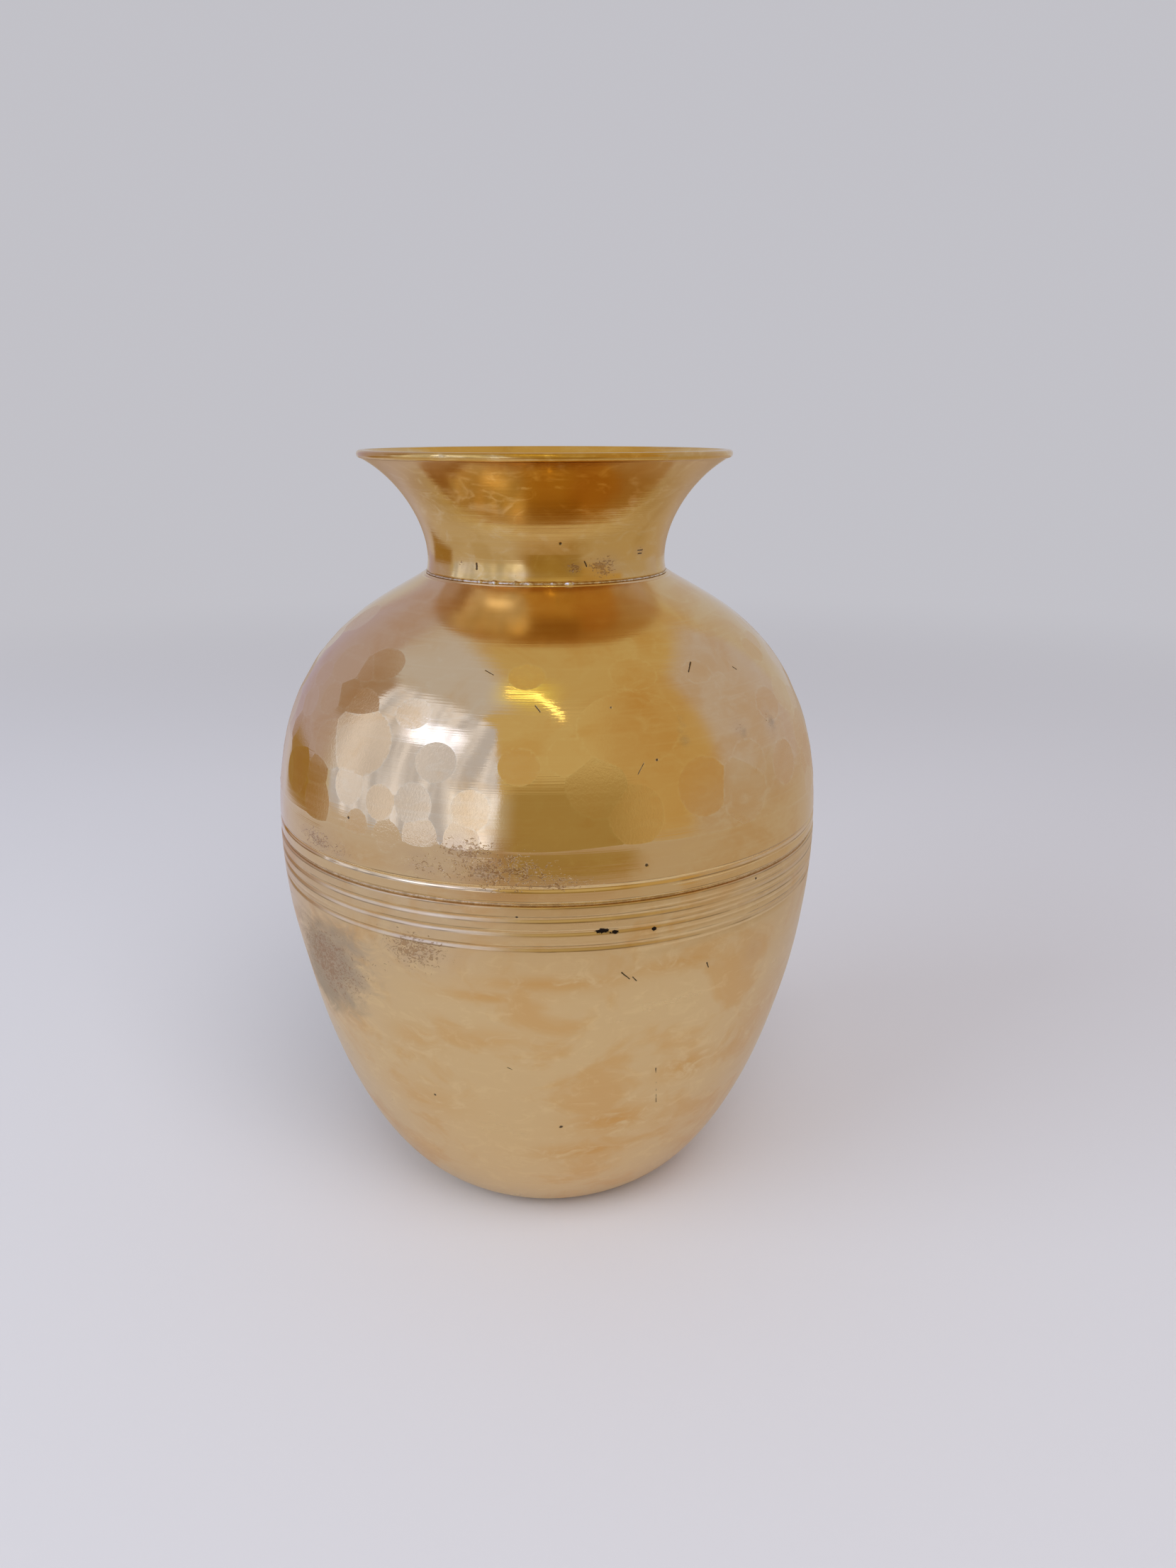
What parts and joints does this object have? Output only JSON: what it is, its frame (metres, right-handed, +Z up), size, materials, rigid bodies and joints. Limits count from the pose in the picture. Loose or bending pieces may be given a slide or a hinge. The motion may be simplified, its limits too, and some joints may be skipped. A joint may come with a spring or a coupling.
{
  "type": "kalash water pot",
  "caption": "Round-bellied brass water pot with a hammered shoulder, a turned band of grooves at the belly and a flared collar.",
  "frame": {"origin": "centre of the flat base, on the surface that the pot stands on", "axes": "+Z up along the pot's turning axis, towards the mouth"},
  "size_m": [0.146, 0.146, 0.2],
  "materials": {
    "satin_brass": "satin, faint turning lines, small copper-coloured stains and one grey tarnished patch",
    "hammered_brass": "planished facets, polished over fine turning lines",
    "polished_brass": "polished, with fine turning lines and a few casting pits near the foot",
    "braze_metal": "dull, paler than the brass, slightly pitted"
  },
  "bodies": {
    "root": {"lower_bowl": "satin_brass", "belly_braze": "braze_metal", "shoulder_shell": "hammered_brass", "neck_braze": "braze_metal", "collar": "polished_brass"}
  },
  "joints": []
}
